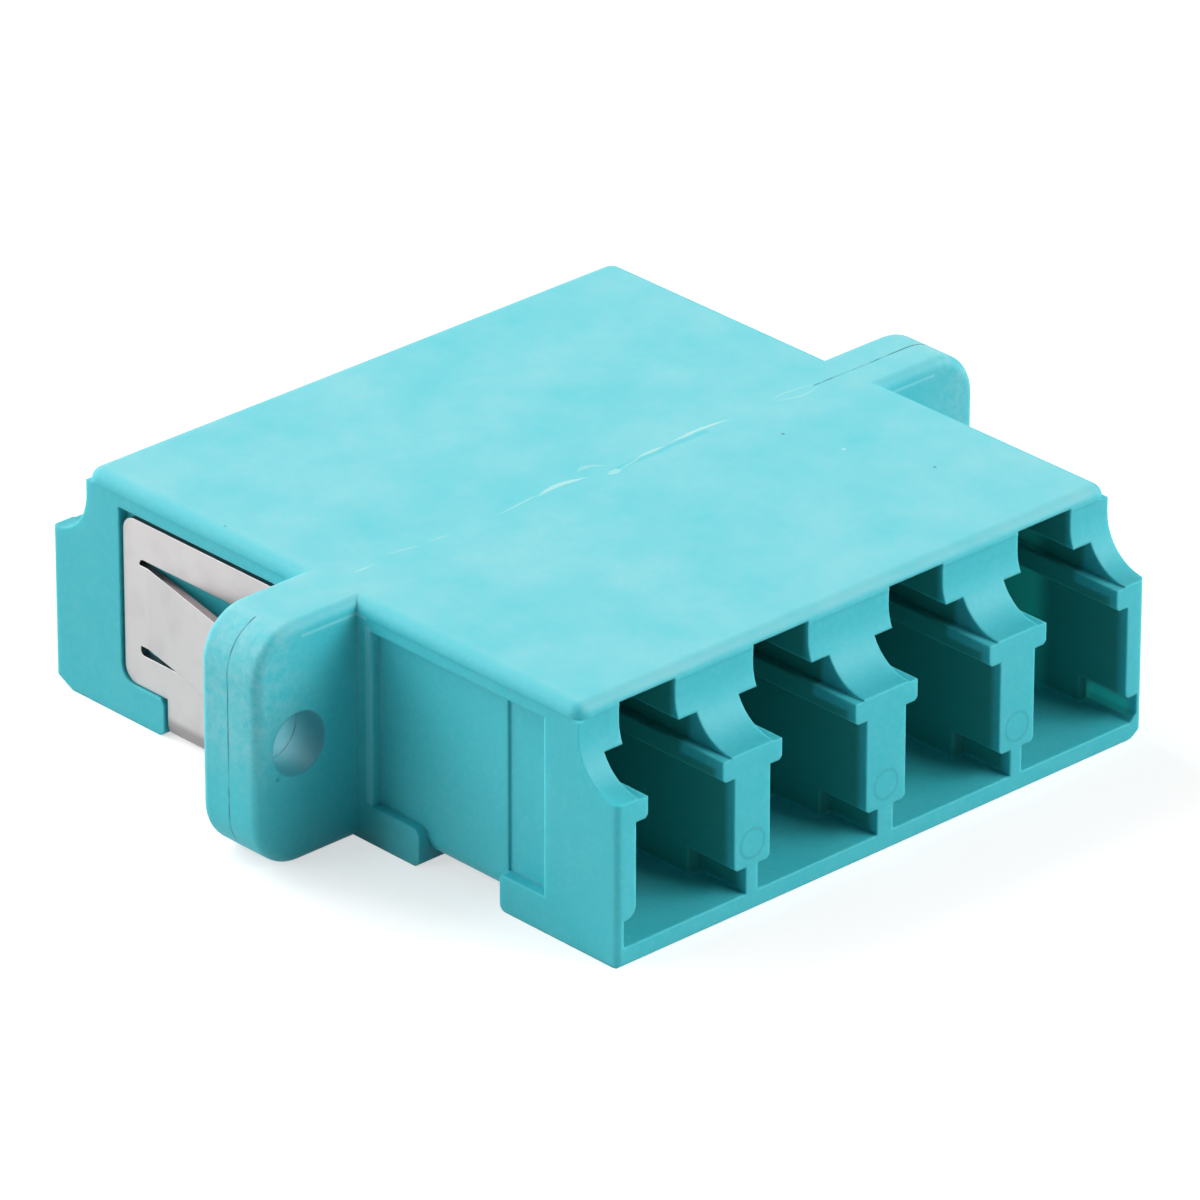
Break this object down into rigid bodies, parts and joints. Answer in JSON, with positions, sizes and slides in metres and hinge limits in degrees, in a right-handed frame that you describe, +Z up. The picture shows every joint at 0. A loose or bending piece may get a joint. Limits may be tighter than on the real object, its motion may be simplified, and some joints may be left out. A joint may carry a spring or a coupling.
{
  "type": "lc fibre adapter",
  "caption": "Flanged bulkhead coupler with a row of keyed plug ports on each face, ceramic alignment sleeves inside and a folded spring clip that holds it in a panel.",
  "frame": {"origin": "under the middle of the flange, on the plane that the adapter stands on", "axes": "+X across the ports, +Y along the fibres towards the half that carries the clip, +Z up, towards the latches"},
  "size_m": [0.0344, 0.0292, 0.0092],
  "materials": {
    "housing_plastic": "fine satin, as moulded",
    "spring_steel": "cold rolled, dull",
    "zirconia": "ground and polished white ceramic"
  },
  "bodies": {
    "root": {"front_housing": "housing_plastic", "rear_housing": "housing_plastic", "panel_clip": "spring_steel", "split_sleeve_1": "zirconia", "split_sleeve_2": "zirconia", "split_sleeve_3": "zirconia", "split_sleeve_4": "zirconia"}
  },
  "joints": []
}
